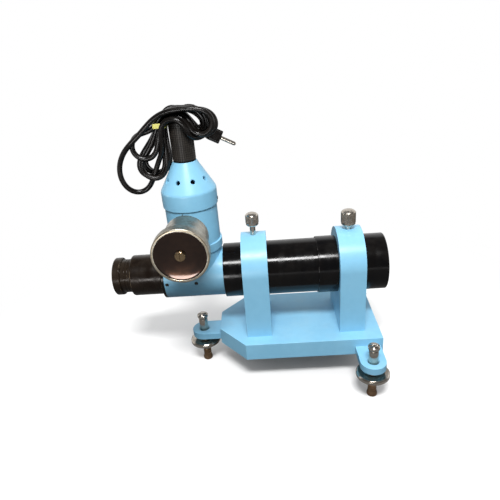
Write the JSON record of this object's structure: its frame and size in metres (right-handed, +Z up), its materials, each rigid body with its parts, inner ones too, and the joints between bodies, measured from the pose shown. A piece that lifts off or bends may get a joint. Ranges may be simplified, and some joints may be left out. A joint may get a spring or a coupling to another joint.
{
  "type": "autocollimator",
  "caption": "Laboratory autocollimator: black barrel in ring clamps on a three-screw levelling plate, blue head with eyepiece, lamp house and micrometer drum.",
  "frame": {"origin": "on the table under the middle of the part, measured without the mains cord", "axes": "+X along the barrel to the objective, +Y away from the micrometer drum, +Z up"},
  "size_m": [0.2954, 0.1856, 0.303],
  "materials": {
    "enamel": "glossy hammered sky-blue enamel",
    "steel": "satin",
    "brass": "turned, a little tarnished",
    "chrome": "polished nickel plate",
    "black_anodised": "black anodised, semi-gloss",
    "black_screws": "blackened",
    "lens_glass": "polished",
    "bronzed_black": "bronzed black, semi-gloss",
    "satin_chrome": "satin chrome with polished rim",
    "drum_mirror": "dark polished plate",
    "lamp_holder_black": "fine cross ribs",
    "cord_rubber": "smooth black sheath",
    "tie_yellow": "soft plastic band"
  },
  "bodies": {
    "stand": {"base_plate": "enamel", "left_clamp": "enamel", "right_clamp": "enamel", "clamp_bolts": "steel"},
    "foot_body_left": {"foot_left": "brass"},
    "screw_body_left": {"levelling_screw_left": "chrome", "thumb_wheel_left": "chrome"},
    "foot_body_front": {"foot_front": "brass"},
    "screw_body_front": {"levelling_screw_front": "chrome", "thumb_wheel_front": "chrome"},
    "foot_body_back": {"foot_back": "brass"},
    "screw_body_back": {"levelling_screw_back": "chrome", "thumb_wheel_back": "chrome"},
    "pad_body_left": {"clamp_pad_left": "brass"},
    "clamp_screw_body_left": {"clamp_screw_left": "chrome"},
    "pad_body_right": {"clamp_pad_right": "brass"},
    "clamp_screw_body_right": {"clamp_screw_right": "chrome"},
    "barrel": {"barrel_tube": "black_anodised", "objective_sleeve": "black_anodised", "objective_cell": "black_anodised", "objective_crown": "lens_glass", "objective_flint": "lens_glass", "objective_ring": "black_anodised", "barrel_baffles": "black_anodised", "head_body": "enamel", "head_screws": "black_screws", "end_plate": "black_anodised", "splitter_cell": "black_anodised", "beam_splitter": "lens_glass", "eyepiece_holder": "bronzed_black", "eyepiece_reticle": "lens_glass", "lamp_tube": "enamel", "condenser_ring": "black_anodised", "condenser_lens": "lens_glass", "guide_rods": "steel", "drum_sleeve": "satin_chrome"},
    "eyepiece": {"eyepiece_tube": "bronzed_black", "eye_cap": "bronzed_black", "eye_lens": "lens_glass", "field_lens": "lens_glass"},
    "carriage": {"target_carriage": "brass", "target_glass": "lens_glass"},
    "micrometer_drum": {"drum": "satin_chrome", "drum_face": "drum_mirror", "drum_spindle": "steel", "drum_screw": "chrome"},
    "lamp_cover": {"lamp_cap": "enamel", "cap_screws": "black_screws"},
    "lamp": {"lamp_holder": "lamp_holder_black", "lamp_socket": "brass", "bulb": "lens_glass", "bulb_base": "brass", "cord_hank": "cord_rubber", "cord_loop": "cord_rubber", "cord_tail": "cord_rubber", "cord_tie": "tie_yellow", "plug_body": "cord_rubber", "plug_pins": "chrome"}
  },
  "joints": [
    {"name": "foot_slide_left", "type": "slide", "parent": "stand", "child": "foot_body_left", "axis": [0, 0, 1], "range_m": [-0.008, 0.0025]},
    {"name": "levelling_turn_left", "type": "hinge", "parent": "foot_body_left", "child": "screw_body_left", "pos_m": [-0.05815, 0, 0.0278], "axis": [0, 0, 1], "range_deg": [-2881, 901]},
    {"name": "foot_slide_front", "type": "slide", "parent": "stand", "child": "foot_body_front", "axis": [0, 0, 1], "range_m": [-0.008, 0.0025]},
    {"name": "levelling_turn_front", "type": "hinge", "parent": "foot_body_front", "child": "screw_body_front", "pos_m": [0.12385, -0.0755, 0.0278], "axis": [0, 0, 1], "range_deg": [-2881, 901]},
    {"name": "foot_slide_back", "type": "slide", "parent": "stand", "child": "foot_body_back", "axis": [0, 0, 1], "range_m": [-0.008, 0.0025]},
    {"name": "levelling_turn_back", "type": "hinge", "parent": "foot_body_back", "child": "screw_body_back", "pos_m": [0.12385, 0.0755, 0.0278], "axis": [0, 0, 1], "range_deg": [-2881, 901]},
    {"name": "pad_slide_left", "type": "slide", "parent": "stand", "child": "pad_body_left", "axis": [0, 0, 1], "range_m": [0, 0.0012]},
    {"name": "clamp_turn_left", "type": "hinge", "parent": "pad_body_left", "child": "clamp_screw_body_left", "pos_m": [0.00825, 0, 0.17], "axis": [0, 0, 1], "range_deg": [0, 433]},
    {"name": "pad_slide_right", "type": "slide", "parent": "stand", "child": "pad_body_right", "axis": [0, 0, 1], "range_m": [0, 0.0012]},
    {"name": "clamp_turn_right", "type": "hinge", "parent": "pad_body_right", "child": "clamp_screw_body_right", "pos_m": [0.10965, 0, 0.17], "axis": [0, 0, 1], "range_deg": [0, 433]},
    {"name": "barrel_turn", "type": "hinge", "parent": "stand", "child": "barrel", "pos_m": [0.05885, 0, 0.1195], "axis": [1, 0, 0], "range_deg": [-60, 60]},
    {"name": "eyepiece_slide", "type": "slide", "parent": "barrel", "child": "eyepiece", "axis": [1, 0, 0], "range_m": [-0.01, 0.0075]},
    {"name": "drum_turn", "type": "hinge", "parent": "barrel", "child": "micrometer_drum", "pos_m": [-0.05575, -0.06, 0.18], "axis": [0, 1, 0], "range_deg": [-1800, 1800]},
    {"name": "target_slide", "type": "slide", "parent": "barrel", "child": "carriage", "axis": [0, 1, 0], "range_m": [-0.00251, 0.00251]},
    {"name": "lamp_cover_lift", "type": "slide", "parent": "barrel", "child": "lamp_cover", "axis": [0, 0, 1], "range_m": [0, 0.0085]},
    {"name": "lamp_focus", "type": "slide", "parent": "lamp_cover", "child": "lamp", "axis": [0, 0, 1], "range_m": [0, 0.008]}
  ],
  "couplings": [
    {"joint": "levelling_turn_left", "follows": "foot_slide_left", "rad_per_m": 6283.2},
    {"joint": "levelling_turn_front", "follows": "foot_slide_front", "rad_per_m": 6283.2},
    {"joint": "levelling_turn_back", "follows": "foot_slide_back", "rad_per_m": 6283.2},
    {"joint": "clamp_turn_left", "follows": "pad_slide_left", "rad_per_m": 6283.2},
    {"joint": "clamp_turn_right", "follows": "pad_slide_right", "rad_per_m": 6283.2},
    {"joint": "target_slide", "follows": "drum_turn", "m_per_rad": -0.000079577}
  ]
}
